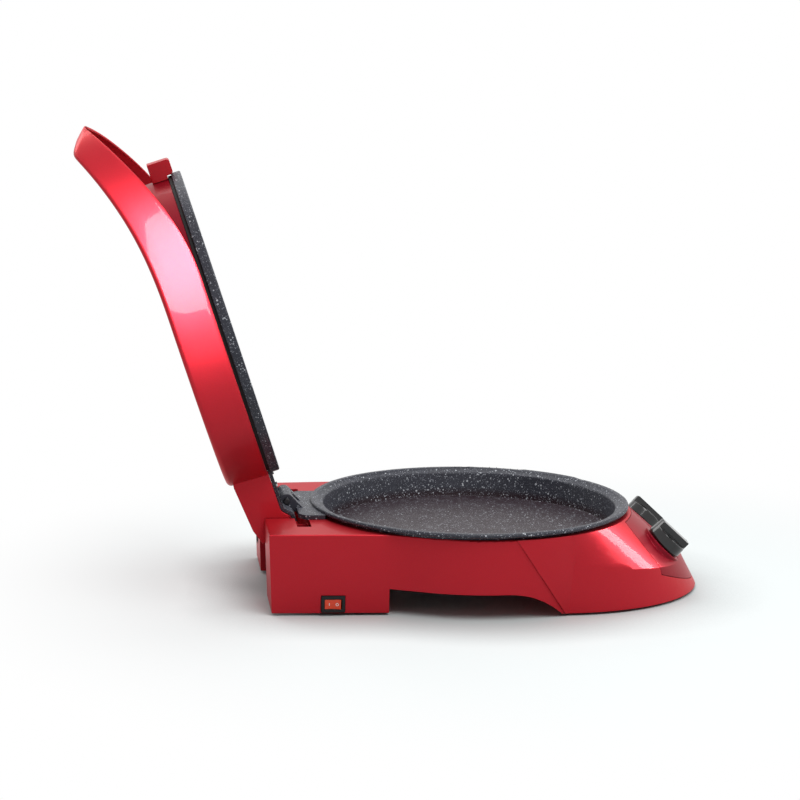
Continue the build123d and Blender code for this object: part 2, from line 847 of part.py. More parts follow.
# Thermostat, timer, their spindles and the knobs pressed on them
for side, control_name in ((-1, "thermostat"), (1, "timer")):
    seat_plane = knob_plane(side).offset(-knob_gap - boss_depth)
    with BuildPart() as control:
        with BuildSketch(seat_plane):
            RectangleRounded(control_width, control_length, radius=2)
        extrude(amount=-control_depth)
        with BuildSketch(seat_plane):
            Circle(spindle_radius + running_clearance)
        extrude(amount=-spindle_seat, mode=Mode.SUBTRACT)
    control.part.label = control_name
    export_step(control.part, f"parts/{control_name}.step")

    with BuildPart() as spindle:
        with BuildSketch(seat_plane.offset(-spindle_seat + seam)):
            Circle(spindle_radius)
        extrude(amount=spindle_seat - seam + boss_depth + knob_gap + knob_bore_depth)
    spindle.part.label = f"{control_name}_spindle"
    export_step(spindle.part, f"parts/{control_name}_spindle.step")

    with BuildPart() as knob:
        with BuildSketch(knob_plane(side)):
            Circle(knob_radius)
        with BuildSketch(knob_plane(side).offset(knob_skirt)):
            Circle(knob_radius - knob_draft)
        loft()
        with BuildSketch(knob_plane(side).offset(knob_skirt / 2)):
            Rectangle(knob_grip_width, 2 * knob_radius)
            Circle(knob_radius - knob_draft, mode=Mode.INTERSECT)
        extrude(amount=knob_height - knob_skirt / 2)
        with BuildSketch(knob_plane(side)):
            Circle(spindle_radius)
        extrude(amount=knob_bore_depth, mode=Mode.SUBTRACT)
    knob_label = "temperature_knob" if side < 0 else "timer_knob"
    knob.part.label = knob_label
    export_step(knob.part, f"parts/{knob_label}.step")

# Rocker switch: a frame with its case behind the wall, and the rocker on two pivots
with BuildPart() as switch_housing:
    with BuildSketch(switch_plane):
        Rectangle(bezel_length, bezel_height)
    extrude(amount=bezel_sink + bezel_proud)
    with BuildSketch(switch_plane):
        Rectangle(rocker_length + 2 * switch_frame, rocker_height + 2 * switch_frame)
    extrude(amount=-switch_body_depth)
    with BuildSketch(switch_plane.offset(bezel_sink + bezel_proud)):
        Rectangle(rocker_length + 4 * seam, rocker_height + 2 * seam)
    extrude(amount=-bezel_sink - bezel_proud - rocker_depth - 1, mode=Mode.SUBTRACT)
    with BuildSketch(Plane(switch_plane.origin).offset(-bezel_height / 2)):
        with Locations((rocker_pivot_depth, 0)):
            Circle(rocker_pivot_radius + running_clearance)
    extrude(
        amount=(bezel_height + rocker_height) / 2 + rocker_pivot_length + seam, mode=Mode.SUBTRACT
    )
switch_housing.part.label = "switch_housing"
export_step(switch_housing.part, "parts/switch_housing.step")

with BuildPart() as rocker:
    with BuildSketch(Plane(switch_plane.origin)) as rocker_section:
        with BuildLine():
            front = -bezel_sink - bezel_proud
            Polyline(
                (front - rocker_dish, rocker_length / 2),
                (front + rocker_dish, 0),
                (front - rocker_dish, -rocker_length / 2),
                (front + rocker_depth, rocker_taper - rocker_length / 2),
                (front + rocker_depth, rocker_length / 2 - rocker_taper),
                close=True,
            )
        make_face()
    extrude(amount=rocker_height / 2, both=True)
    with BuildSketch(Plane(switch_plane.origin).offset(-rocker_height / 2 - rocker_pivot_length)):
        with Locations((rocker_pivot_depth, 0)):
            Circle(rocker_pivot_radius)
    extrude(amount=rocker_height + 2 * rocker_pivot_length)
rocker_axis = Axis((-switch_seat_x + rocker_pivot_depth, switch_y, switch_z), (0, 0, 1))
rocker_off = rocker.part.rotate(rocker_axis, -rocker_swing / 2)
rocker_off.label = "rocker_button"
export_step(rocker_off, "parts/rocker_button.step")

# Bushing of the cord's inlet in the rear wall of the right block
with BuildPart() as cord_inlet:
    with BuildSketch(inlet_plane):
        Circle(inlet_flange)
    extrude(amount=inlet_proud, taper=12)
    with BuildSketch(inlet_plane):
        Circle(inlet_radius)
    extrude(amount=-wall - 2)
    with BuildSketch(inlet_plane.offset(inlet_proud)):
        Circle(inlet_bore)
    extrude(amount=-inlet_proud - wall - 2, mode=Mode.SUBTRACT)
cord_inlet.part.label = "cord_inlet"
export_step(cord_inlet.part, "parts/cord_inlet.step")


def opened(piece, label):
    """A lid piece drawn closed, turned about the hinge to the open rest pose and named."""
    turned = piece.rotate(hinge_axis, -open_angle)
    turned.label = label
    export_step(turned, f"parts/{label}.step")
    return turned


def curl_line(lift, lean, start_y, end_y):
    """Underside or upper side of the cast tongue, which drops over the hinge in an S."""
    z = upper_tongue_z + lift
    first = (hinge_y - curl_start + lean, z)
    last = (hinge_y - curl_start + curl_length + lean, z - upper_tongue_drop)
    Line((start_y, z), first)
    Spline(first, last, tangents=((1, 0), (1, 0)))
    Line(last, (end_y, last[1]))


curl_end_y = hinge_y - curl_start + curl_length + curl_flat

# Upper plate: a flat cast disc with a raised rim, its tongue and the centre knuckle
with BuildPart() as upper_plate:
    with BuildSketch(Plane.XZ):
        with BuildLine():
            Polyline(
                (0, plate_face_z),
                (plate_radius - plate_rim_width - plate_recess / 2, plate_face_z),
                (plate_radius - plate_rim_width, plate_rim_z),
                (plate_radius - 0.8, plate_rim_z),
                (plate_radius, plate_rim_z + 0.8),
                (plate_radius, plate_top_z),
                (plate_radius - plate_rim_width - 2, plate_top_z),
                (plate_radius - plate_rim_width - 2, plate_back_z),
                (0, plate_back_z),
                close=True,
            )
        make_face()
    revolve(axis=Axis.Z)
    with BuildSketch(Plane.YZ):
        with BuildLine():
            curl_line(0, 0, plate_radius - tongue_pad, curl_end_y)
            curl_line(upper_tongue_thickness, curl_lean, plate_radius - tongue_pad, curl_end_y)
            front_y = plate_radius - tongue_pad
            Line((front_y, upper_tongue_z), (front_y, upper_tongue_z + upper_tongue_thickness))
            Line(
                (curl_end_y, upper_tongue_z - upper_tongue_drop),
                (curl_end_y, upper_tongue_z - upper_tongue_drop + upper_tongue_thickness),
            )
        make_face()
    extrude(amount=upper_tongue_half_width, both=True)
    with BuildSketch(Plane.XY.offset(plate_face_z + 1)):
        with Locations((0, plate_radius - tongue_pad)):
            Rectangle(2 * upper_tongue_half_width, tongue_pad, align=(Align.CENTER, Align.MIN))
        Circle(plate_radius - 1, mode=Mode.INTERSECT)
    extrude(amount=upper_tongue_z - plate_face_z)
    for side in (-1, 1):
        with BuildSketch(Plane.XY.offset(hinge_z - 2 * knuckle_radius)):
            with Locations((side * (centre_knuckle_half + ear_gap / 2), hinge_y - notch_start)):
                Rectangle(
                    ear_width + 2 * ear_gap,
                    reach,
                    align=(Align.MIN if side > 0 else Align.MAX, Align.MIN),
                )
        extrude(amount=4 * knuckle_radius, mode=Mode.SUBTRACT)
    with BuildSketch(Plane.YZ):
        with Locations((hinge_y, hinge_z)):
            Circle(knuckle_radius)
    extrude(amount=centre_knuckle_half, both=True)
    with BuildSketch(Plane.YZ):
        with Locations((hinge_y, hinge_z)):
            Circle(pin_radius + running_clearance)
    extrude(amount=centre_knuckle_half, both=True, mode=Mode.SUBTRACT)
    with BuildSketch(Plane.XY.offset(upper_tongue_z)):
        with Locations(*[(side * neck_screw_x, neck_screw_y) for side in (-1, 1)]):
            Circle(screw_radius + running_clearance)
    extrude(amount=upper_tongue_thickness, mode=Mode.SUBTRACT)
opened(upper_plate.part, "upper_plate")

# Gasket ring behind the plate's rim, open where the tongue passes
with BuildPart() as plate_gasket:
    with BuildSketch(Plane.XY.offset(plate_top_z)):
        Circle(gasket_radius)
        Circle(gasket_radius - gasket_width, mode=Mode.SUBTRACT)
        with Locations((0, plate_radius)):
            Rectangle(2 * (neck_half_width + seam), plate_radius, mode=Mode.SUBTRACT)
    extrude(amount=gasket_thickness)
opened(plate_gasket.part, "plate_gasket")

# Heating element and reflector on the back of the upper plate
upper_element_z = plate_back_z + element_gap + element_radius
upper_element = element_form(upper_element_ring, upper_element_z, element_lead)
opened(upper_element, "upper_heating_element")
upper_reflector = reflector_form(plate_back_z, reflector_depth)
opened(upper_reflector, "upper_reflector")


def lid_outline(height, inset):
    """Round lid with an elliptical front lip in plan, drawn in by an inset."""
    radius = lid_radius - inset
    length = radius + lid_nose_overhang
    with BuildSketch(Plane.XY.offset(height)) as outline:
        with BuildLine():
            ThreePointArc((radius, 0), (0, radius), (-radius, 0))
            EllipticalCenterArc((0, 0), radius, length, start_angle=180, arc_size=180)
        make_face()
    return outline.sketch


def lid_form(inset, hollow):
    """Lid between its rim and its crown, or the hollow inside its walls."""
    floor_z = lid_rim_z - 20 if hollow else lid_rim_z
    roof_z = lid_rim_z + lid_form_height
    low_inset = inset - (lid_rim_z - floor_z) * lid_draft_rate
    with BuildPart() as form:
        loft(
            [lid_outline(floor_z, low_inset), lid_outline(roof_z, inset + lid_draft)], ruled=True
        )
        with BuildSketch(Plane.YZ):
            with BuildLine():
                Spline(
                    (lip_rise_y, lid_top_z - inset),
                    (lip_mid_y, lip_mid_z - 1.1 * inset),
                    (lip_crown_y, lip_crown_z - 1.3 * inset),
                    tangents=((-1, 0), (-1, 0.55)),
                )
                tip = (lip_tip_y, lip_tip_z - 1.3 * inset)
                Line((lip_crown_y, lip_crown_z - 1.3 * inset), tip)
                top_rear = ((reach, floor_z), (reach, lid_top_z - inset), (lip_rise_y, lid_top_z - inset))
                if hollow:
                    Polyline(tip, (lip_tip_y, floor_z), *top_rear)
                else:
                    Polyline((rim_rise_y, floor_z), *top_rear)
                    Spline(
                        (rim_rise_y, floor_z),
                        (rim_mid_y, rim_mid_z),
                        (rim_late_y, rim_late_z),
                        tip,
                        tangents=((-1, 0), (-1, 0.85)),
                    )
            make_face()
        extrude(amount=reach, both=True, mode=Mode.INTERSECT)
    return form.part


def neck_form(margin):
    """Side outline of the neck extruded across its width, grown by a margin."""
    bottom = upper_tongue_thickness + seam
    with BuildPart() as form:
        with BuildSketch(Plane.YZ) as outline:
            with BuildLine():
                curl_line(bottom, curl_lean, neck_front_y - margin, curl_end_y + seam)
                low_z = upper_tongue_z - upper_tongue_drop
                Polyline(
                    (curl_end_y + seam, low_z + bottom),
                    (curl_end_y + seam, low_z),
                    (neck_heel_y, neck_heel_z),
                    (neck_rear_y, neck_rear_z),
                    (neck_shoulder_y, neck_shoulder_z),
                    (neck_crest_y, neck_crest_z + margin),
                    (neck_top_front_y - margin, neck_top_front_z + margin),
                    (neck_front_y - margin, upper_tongue_z + bottom),
                )
            make_face()
            fillet(outline.vertices().sort_by(Axis.Y)[-2:], radius=neck_rounding)
        extrude(amount=neck_half_width + margin, both=True)
    return form.part


# Moulded lid shell
with BuildPart() as lid_shell:
    add(lid_form(0, False))
    add(lid_form(lid_wall, True), mode=Mode.SUBTRACT)
    add(neck_form(seam), mode=Mode.SUBTRACT)
    with BuildSketch(Plane.XY.offset(lid_rim_z)):
        with Locations((0, neck_front_y)):
            Rectangle(2 * (neck_half_width + seam), reach, align=(Align.CENTER, Align.MIN))
    extrude(amount=neck_wall, mode=Mode.SUBTRACT)
opened(lid_shell.part, "lid_shell")

# Hollow neck that carries the lid on the plate's tongue
with BuildPart() as hinge_neck:
    add(neck_form(0))
    with BuildSketch(Plane.YZ):
        with BuildLine():
            Polyline(
                (neck_front_y + neck_wall, hinge_z - neck_rounding),
                (neck_front_y + neck_wall, neck_top_front_z - neck_wall / 2),
                (neck_crest_y + neck_wall, neck_crest_z - neck_wall),
                (neck_shoulder_y, neck_shoulder_z - neck_wall),
                (neck_rear_y - neck_wall - 1, neck_rear_z - neck_wall),
                (neck_heel_y - neck_wall, hinge_z - neck_rounding),
                close=True,
            )
        make_face()
    extrude(amount=neck_half_width - neck_wall, both=True, mode=Mode.SUBTRACT)
    with BuildSketch(Plane.XY.offset(upper_tongue_z + upper_tongue_thickness + seam)):
        with Locations(*[(side * neck_screw_x, neck_screw_y) for side in (-1, 1)]):
            Circle(screw_boss_radius)
    extrude(amount=neck_crest_z - neck_wall - upper_tongue_z - upper_tongue_thickness - seam)
    with BuildSketch(Plane.XY.offset(upper_tongue_z)):
        with Locations(*[(side * neck_screw_x, neck_screw_y) for side in (-1, 1)]):
            Circle(screw_radius)
    extrude(amount=upper_tongue_thickness + screw_bite, mode=Mode.SUBTRACT)
opened(hinge_neck.part, "hinge_neck")

for side, screw_name in ((-1, "left_neck_screw"), (1, "right_neck_screw")):
    with BuildPart() as neck_screw:
        with BuildSketch(Plane.XY.offset(upper_tongue_z)):
            with Locations((side * neck_screw_x, neck_screw_y)):
                Circle(screw_head_radius)
        extrude(amount=-screw_head_height)
        with BuildSketch(Plane.XY.offset(upper_tongue_z)):
            with Locations((side * neck_screw_x, neck_screw_y)):
                Circle(screw_radius)
        extrude(amount=upper_tongue_thickness + screw_bite)
    opened(neck_screw.part, screw_name)

# Inner cover round the plate's back, open at the rear for the neck
with BuildPart() as inner_cover:
    with BuildSketch(Plane.XZ):
        with BuildLine():
            Polyline(
                (cover_radius - cover_ring_width, gasket_top_z),
                (cover_radius, gasket_top_z),
                (cover_radius, cover_roof_z),
                (cover_radius - cover_wall, cover_roof_z),
                (cover_radius - cover_wall, gasket_top_z + cover_wall),
                (cover_radius - cover_ring_width, gasket_top_z + cover_wall),
                close=True,
            )
        make_face()
    revolve(axis=Axis.Z)
    with BuildSketch(Plane.XY.offset(gasket_top_z)):
        with Locations((0, neck_top_front_y - 2 * seam)):
            Rectangle(2 * (neck_half_width + seam), reach, align=(Align.CENTER, Align.MIN))
    extrude(amount=lid_form_height, mode=Mode.SUBTRACT)
opened(inner_cover.part, "inner_cover")

# Catch block on the front of the inner cover
with BuildPart() as front_catch:
    with BuildSketch(Plane.YZ) as catch_side:
        with BuildLine():
            Polyline(
                (-cover_radius, catch_top_z),
                (-cover_radius - catch_depth, catch_top_z),
                (-cover_radius - catch_depth, catch_foot_z),
                (-plate_radius - seam, catch_foot_z),
                (-plate_radius - seam, gasket_top_z + seam),
                (-cover_radius, gasket_top_z + seam),
                close=True,
            )
        make_face()
        fillet(catch_side.vertices().sort_by(Axis.Y)[:2], radius=catch_rounding)
    extrude(amount=catch_half_width, both=True)
    with BuildSketch(Plane.XY.offset(catch_foot_z)):
        Circle(cover_radius + seam)
    extrude(amount=lid_form_height, mode=Mode.SUBTRACT)
opened(front_catch.part, "front_catch")
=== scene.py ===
import bpy
import bmesh
from math import asin, cos, pi, radians, sin
from mathutils import Matrix, Vector
from mathutils.kdtree import KDTree


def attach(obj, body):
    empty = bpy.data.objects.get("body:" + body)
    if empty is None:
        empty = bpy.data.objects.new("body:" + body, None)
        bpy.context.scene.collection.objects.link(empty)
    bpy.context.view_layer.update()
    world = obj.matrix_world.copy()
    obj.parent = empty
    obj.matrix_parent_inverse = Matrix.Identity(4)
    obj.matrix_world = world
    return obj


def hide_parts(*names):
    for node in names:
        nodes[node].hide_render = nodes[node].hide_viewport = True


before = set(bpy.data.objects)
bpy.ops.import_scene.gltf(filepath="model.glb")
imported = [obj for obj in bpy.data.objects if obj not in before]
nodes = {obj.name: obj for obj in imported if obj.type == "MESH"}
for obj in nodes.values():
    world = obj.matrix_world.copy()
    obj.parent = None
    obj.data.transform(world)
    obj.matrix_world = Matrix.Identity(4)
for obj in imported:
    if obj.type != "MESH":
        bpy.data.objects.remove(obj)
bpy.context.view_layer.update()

# Camera: on the cooker's left, turned seven degrees towards its rear and looking down about ten
# degrees, so that the knobs are on the right of the picture. A long lens, 2.2 metres away.
camera_turn = radians(7.19)
camera_drop = radians(9.86)
camera_roll = radians(0.93)
camera_target = Vector((0, 0.0697, 0.18269))
camera_distance = 2.2
sensor_width = 36
focal_length_in_widths = 2267.55 / 800
forward = Vector((
    cos(camera_turn) * cos(camera_drop), -sin(camera_turn) * cos(camera_drop), -sin(camera_drop)
))
across = forward.cross(Vector((0, 0, 1))).normalized()
upward = across.cross(forward)
tilted_across = across * cos(camera_roll) + upward * sin(camera_roll)
tilted_upward = upward * cos(camera_roll) - across * sin(camera_roll)
camera_data = bpy.data.cameras.new("photo_camera")
camera_data.sensor_width = sensor_width
camera_data.lens = focal_length_in_widths * sensor_width
camera_data.clip_end = 50
camera = bpy.data.objects.new("photo_camera", camera_data)
bpy.context.scene.collection.objects.link(camera)
stand = Matrix((tilted_across, tilted_upward, -forward)).transposed().to_4x4()
stand.translation = camera_target - forward * camera_distance
camera.matrix_world = stand
bpy.context.scene.camera = camera
bpy.context.scene.view_settings.view_transform = "Standard"

# Studio: a pale table, a white surround and four soft boxes round the cooker. Two more, seen in
# the gloss alone, give the lid and the nose their long reflections. The surround is white to
# the camera and in reflections, and dimmer as a light.
world = bpy.data.worlds.new("studio")
bpy.context.scene.world = world
world.use_nodes = True
tree = world.node_tree
rays = tree.nodes.new("ShaderNodeLightPath")
seen = tree.nodes.new("ShaderNodeMath")
seen.operation = "MAXIMUM"
seen_all = tree.nodes.new("ShaderNodeMath")
seen_all.operation = "MAXIMUM"
tree.links.new(rays.outputs["Is Camera Ray"], seen.inputs[0])
tree.links.new(rays.outputs["Is Glossy Ray"], seen.inputs[1])
tree.links.new(seen.outputs[0], seen_all.inputs[0])
tree.links.new(rays.outputs["Is Transmission Ray"], seen_all.inputs[1])
soft_light = tree.nodes["Background"]
soft_light.inputs["Color"].default_value = (1, 1, 1, 1)
soft_light.inputs["Strength"].default_value = 0.28
white = tree.nodes.new("ShaderNodeBackground")
white.inputs["Color"].default_value = (1, 1, 1, 1)
white.inputs["Strength"].default_value = 1
surround = tree.nodes.new("ShaderNodeMixShader")
tree.links.new(seen_all.outputs[0], surround.inputs[0])
tree.links.new(soft_light.outputs[0], surround.inputs[1])
tree.links.new(white.outputs[0], surround.inputs[2])
tree.links.new(surround.outputs[0], tree.nodes["World Output"].inputs[0])

lit_spot = Vector((0, 0.03, 0.12))
lid_pieces = bpy.data.collections.new("lid_pieces")
nose_pieces = bpy.data.collections.new("nose_pieces")
for lamp_name, spot, size, length, power, gloss_pieces in (
    ("key_softbox", (-1.0, -0.3, 1.5), 0.9, 0.9, 17, None),
    ("top_softbox", (0.5, 0.1, 1.5), 0.9, 1.2, 8, None),
    ("front_softbox", (-0.35, -1.4, 0.9), 0.5, 0.6, 4, None),
    ("far_softbox", (1.1, 1.0, 1.1), 0.6, 0.7, 4, None),
    ("lid_reflector", (-1.32, 0.42, 0.93), 0.8, 1.22, 190, lid_pieces),
    ("nose_reflector", (0.15, -1.2, 0.64), 0.3, 0.4, 16, nose_pieces),
):
    lamp_data = bpy.data.lights.new(lamp_name, "AREA")
    lamp_data.shape = "RECTANGLE"
    lamp_data.size = size
    lamp_data.size_y = length
    lamp_data.energy = power
    lamp = bpy.data.objects.new(lamp_name, lamp_data)
    bpy.context.scene.collection.objects.link(lamp)
    lamp.location = spot
    if gloss_pieces:
        lamp.visible_diffuse = False
        lamp_data.cycles.max_bounces = 0
        lamp.light_linking.receiver_collection = gloss_pieces
    lamp.rotation_euler = (lit_spot - Vector(spot)).to_track_quat("-Z", "Y").to_euler()

# The table glows to the camera, its glow dimmed close to the cooker by a painted contact shadow,
# and fades to plain white.
bpy.ops.object.select_all(action="DESELECT")
bpy.ops.mesh.primitive_plane_add(size=30, location=(0, 0, -0.0005))
table = bpy.context.object
table.name = "table_top"
paper = bpy.data.materials.new("table_paper")
paper.use_nodes = True
tree = paper.node_tree
shader = tree.nodes["Principled BSDF"]
shader.inputs["Base Color"].default_value = (0.49, 0.535, 0.535, 1)
shader.inputs["Roughness"].default_value = 0.7
shader.inputs["Specular IOR Level"].default_value = 0.15
glow = tree.nodes.new("ShaderNodeEmission")
rays = tree.nodes.new("ShaderNodeLightPath")
seen = tree.nodes.new("ShaderNodeMath")
seen.operation = "MAXIMUM"
lift = tree.nodes.new("ShaderNodeMath")
lift.operation = "MULTIPLY"
# Painted contact shadow: ambient occlusion, cubed, cuts the table's glow where the cooker is
# near.
painted_contact_shadow = tree.nodes.new("ShaderNodeAmbientOcclusion")
painted_contact_shadow.inputs["Distance"].default_value = 0.09
painted_contact_shadow.samples = 8
deepened_painted_shadow = tree.nodes.new("ShaderNodeMath")
deepened_painted_shadow.operation = "POWER"
deepened_painted_shadow.inputs[1].default_value = 3
strength = tree.nodes.new("ShaderNodeMath")
strength.operation = "MULTIPLY"
strength.inputs[1].default_value = 0.4
tree.links.new(painted_contact_shadow.outputs["AO"], deepened_painted_shadow.inputs[0])
tree.links.new(deepened_painted_shadow.outputs[0], strength.inputs[0])
tree.links.new(strength.outputs[0], lift.inputs[1])
joined = tree.nodes.new("ShaderNodeAddShader")
tree.links.new(rays.outputs["Is Camera Ray"], seen.inputs[0])
tree.links.new(rays.outputs["Is Glossy Ray"], seen.inputs[1])
tree.links.new(seen.outputs[0], lift.inputs[0])
tree.links.new(lift.outputs[0], glow.inputs["Strength"])
tree.links.new(shader.outputs[0], joined.inputs[0])
tree.links.new(glow.outputs[0], joined.inputs[1])
where = tree.nodes.new("ShaderNodeTexCoord")
away = tree.nodes.new("ShaderNodeVectorMath")
away.operation = "LENGTH"
fade = tree.nodes.new("ShaderNodeMapRange")
fade.interpolation_type = "SMOOTHSTEP"
fade.inputs["From Min"].default_value = 0.22
fade.inputs["From Max"].default_value = 0.6
only_seen = tree.nodes.new("ShaderNodeMath")
only_seen.operation = "MULTIPLY"
plain_white = tree.nodes.new("ShaderNodeEmission")
faded = tree.nodes.new("ShaderNodeMixShader")
middle = tree.nodes.new("ShaderNodeVectorMath")
middle.operation = "SUBTRACT"
middle.inputs[1].default_value = (0, -0.06, 0)
tree.links.new(where.outputs["Object"], middle.inputs[0])
tree.links.new(middle.outputs["Vector"], away.inputs[0])
tree.links.new(away.outputs["Value"], fade.inputs["Value"])
tree.links.new(fade.outputs["Result"], only_seen.inputs[0])
tree.links.new(seen.outputs[0], only_seen.inputs[1])
tree.links.new(only_seen.outputs[0], faded.inputs[0])
tree.links.new(joined.outputs[0], faded.inputs[1])
tree.links.new(plain_white.outputs[0], faded.inputs[2])
tree.links.new(faded.outputs[0], tree.nodes["Material Output"].inputs["Surface"])
table.data.materials.append(paper)


# Base housing: one hollow red plastic moulding under a metallic lacquer, its edges rounded by
# the mould. The deck is flat, the nose falls forwards, the blocks stand behind the drum, and
# the bottom covers are screwed into it.
def coated_plastic(name, colour, deep_colour, metal, rough, coat, flake=0.12, edge=(1, 1, 1)):
    """Lacquered or plain moulded plastic with flakes, cloudy gloss and a fine orange peel."""
    material = bpy.data.materials.new(name)
    material.use_nodes = True
    tree = material.node_tree
    shader = tree.nodes["Principled BSDF"]
    where = tree.nodes.new("ShaderNodeTexCoord")
    clouds = tree.nodes.new("ShaderNodeTexNoise")
    clouds.inputs["Scale"].default_value = 9
    clouds.inputs["Detail"].default_value = 3
    flakes = tree.nodes.new("ShaderNodeTexVoronoi")
    flakes.inputs["Scale"].default_value = 2600
    peel = tree.nodes.new("ShaderNodeTexNoise")
    peel.inputs["Scale"].default_value = 420
    peel.inputs["Detail"].default_value = 2
    for texture in (clouds, flakes, peel):
        tree.links.new(where.outputs["Object"], texture.inputs["Vector"])
    tone = tree.nodes.new("ShaderNodeMix")
    tone.data_type = "RGBA"
    tone.inputs["A"].default_value = (*deep_colour, 1)
    tone.inputs["B"].default_value = (*colour, 1)
    tree.links.new(clouds.outputs["Fac"], tone.inputs["Factor"])
    sparkle = tree.nodes.new("ShaderNodeMix")
    sparkle.data_type = "RGBA"
    sparkle.blend_type = "SOFT_LIGHT"
    sparkle.inputs["Factor"].default_value = flake
    tree.links.new(tone.outputs["Result"], sparkle.inputs["A"])
    tree.links.new(flakes.outputs["Color"], sparkle.inputs["B"])
    tree.links.new(sparkle.outputs["Result"], shader.inputs["Base Color"])
    haze = tree.nodes.new("ShaderNodeMapRange")
    haze.inputs["To Min"].default_value = rough * 0.8
    haze.inputs["To Max"].default_value = rough * 1.25
    tree.links.new(clouds.outputs["Fac"], haze.inputs["Value"])
    tree.links.new(haze.outputs["Result"], shader.inputs["Roughness"])
    skin = tree.nodes.new("ShaderNodeBump")
    skin.inputs["Strength"].default_value = 0.04
    skin.inputs["Distance"].default_value = 0.0003
    tree.links.new(peel.outputs["Fac"], skin.inputs["Height"])
    tree.links.new(skin.outputs["Normal"], shader.inputs["Normal"])
    shader.inputs["Metallic"].default_value = metal
    shader.inputs["Specular IOR Level"].default_value = 0.22
    shader.inputs["Specular Tint"].default_value = (*edge, 1)
    shader.inputs["Coat Weight"].default_value = coat
    shader.inputs["Coat Roughness"].default_value = 0.04
    return material


merge_gap = 0.00002
sharp_angle = radians(25)
stray_share = 1.6
smooth_angle = radians(35)


def rounded_copy(name, node, width, steps=2, chosen=None, wide=0.0):
    """The node's piece again with rounded edges, the chosen ones wide. A corner that the
    rounding threw off goes back to the piece, and none leaves the piece's own box."""
    mesh = nodes[node].data.copy()
    piece = bpy.data.objects.new(name, mesh)
    bpy.context.scene.collection.objects.link(piece)
    bpy.ops.object.select_all(action="DESELECT")
    piece.select_set(True)
    bpy.context.view_layer.objects.active = piece
    bpy.ops.object.mode_set(mode="EDIT")
    bpy.ops.mesh.select_all(action="SELECT")
    bpy.ops.mesh.remove_doubles(threshold=merge_gap)
    bpy.ops.mesh.select_mode(type="EDGE")
    if chosen:
        bpy.ops.mesh.select_all(action="DESELECT")
        body = bmesh.from_edit_mesh(mesh)
        for edge in body.edges:
            if len(edge.link_faces) == 2 and chosen(edge):
                edge.select = True
        bmesh.update_edit_mesh(mesh)
        bpy.ops.mesh.bevel(
            offset=wide, offset_type="OFFSET", segments=5, profile=0.5, affect="EDGES",
            clamp_overlap=False,
        )
    bpy.ops.mesh.select_all(action="DESELECT")
    bpy.ops.mesh.edges_select_sharp(sharpness=sharp_angle)
    bpy.ops.mesh.bevel(
        offset=width, offset_type="OFFSET", segments=steps, profile=0.5, affect="EDGES",
        clamp_overlap=False,
    )
    bpy.ops.object.mode_set(mode="OBJECT")
    first = KDTree(len(nodes[node].data.vertices))
    for corner in nodes[node].data.vertices:
        first.insert(corner.co, corner.index)
    first.balance()
    plain_corners = [corner.co for corner in nodes[node].data.vertices]
    lowest = [min(corner[axis] for corner in plain_corners) for axis in range(3)]
    highest = [max(corner[axis] for corner in plain_corners) for axis in range(3)]
    for corner in mesh.vertices:
        near, _, gap = first.find(corner.co)
        if gap > stray_share * max(width, wide):
            corner.co = near
        corner.co = [
            min(max(part, low), high) for part, low, high in zip(corner.co, lowest, highest)
        ]
    bpy.ops.object.shade_smooth_by_angle(angle=smooth_angle)
    weigh = piece.modifiers.new("even_shading", "WEIGHTED_NORMAL")
    weigh.keep_sharp = True
    bpy.ops.object.modifier_apply(modifier=weigh.name)
    return piece


def finish_with(piece, material):
    """Gives a piece its one finish."""
    piece.data.materials.clear()
    piece.data.materials.append(material)


lacquer_edge = (1, 0.08, 0.13)
red_lacquer = coated_plastic(
    "red_lacquer", (0.49, 0.020, 0.031), (0.42, 0.016, 0.025), 0.4, 0.36, 0.09, edge=lacquer_edge
)
housing_round = 0.0004
housing = rounded_copy("base_moulding", "base_housing", housing_round)
finish_with(housing, red_lacquer)
nose_pieces.objects.link(housing)
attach(housing, "base")
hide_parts("base_housing")

# Lid shell: a deep glossy red moulding with a wide raised lip that is its handle. Its long top
# edge is broadly rounded, its rim is crisp. It is drawn closed and turned open on the hinge,
# and the neck fills the notch at its rear.
hinge = Vector((0, 0.1807, 0.0883))
lid_opening = radians(108.46)
opening = Matrix.Rotation(lid_opening, 3, "X").transposed()


def height_along(reach, stations):
    """Height of a smooth profile at a reach, from stations of reach, height and slope."""
    if reach <= stations[0][0]:
        return stations[0][1]
    for (start, low, rise), (end, high, fall) in zip(stations, stations[1:]):
        if reach <= end:
            break
    share = min(1, (reach - start) / (end - start))
    span = end - start
    return (
        (2 * share**3 - 3 * share**2 + 1) * low
        + (share**3 - 2 * share**2 + share) * span * rise
        + (3 * share**2 - 2 * share**3) * high
        + (share**3 - share**2) * span * fall
    )


lid_radius = 0.152
lip_reach = 0.2192
lid_draft = 0.0429
rear_rim_height = 0.0972
rim_profile = (
    (0.066, 0.0972, 0), (0.144, 0.1135, 0.41), (0.185, 0.134, 0.58), (0.217, 0.156, 0.85),
)
top_profile = (
    (0.038, 0.137, 0), (0.137, 0.1484, 0.287), (0.190, 0.1695, 0.53), (0.1985, 0.1722, -0.25),
    (0.2175, 0.156, -0.9),
)
notch_half_width = 0.0463
notch_roof = 0.1322
shell_wall = 0.0025
shell_round = 0.0046
thinnest_side = 0.0012
tapered_share = 0.42
rim_row = [(0.0, 0.0006), (0.0002, 0.0002), (0.0006, 0.0)]
rim_share = 0.3
wall_shares = (0.12, 0.33, 0.66, 1.0)
corner_steps = 6
first_rim_height = 0.12
first_top_height = 0.15
notch_steps = 12
side_steps = 110
roof_steps = 24


def lid_point(turn, inset, height):
    """A point of the lid's outline at a height, drawn in by an inset; turn 0 is the rear."""
    inset = inset + (height - rear_rim_height) * lid_draft
    long = lid_radius if cos(turn) > 0 else lip_reach
    return (lid_radius - inset) * sin(turn), (long - inset) * cos(turn)


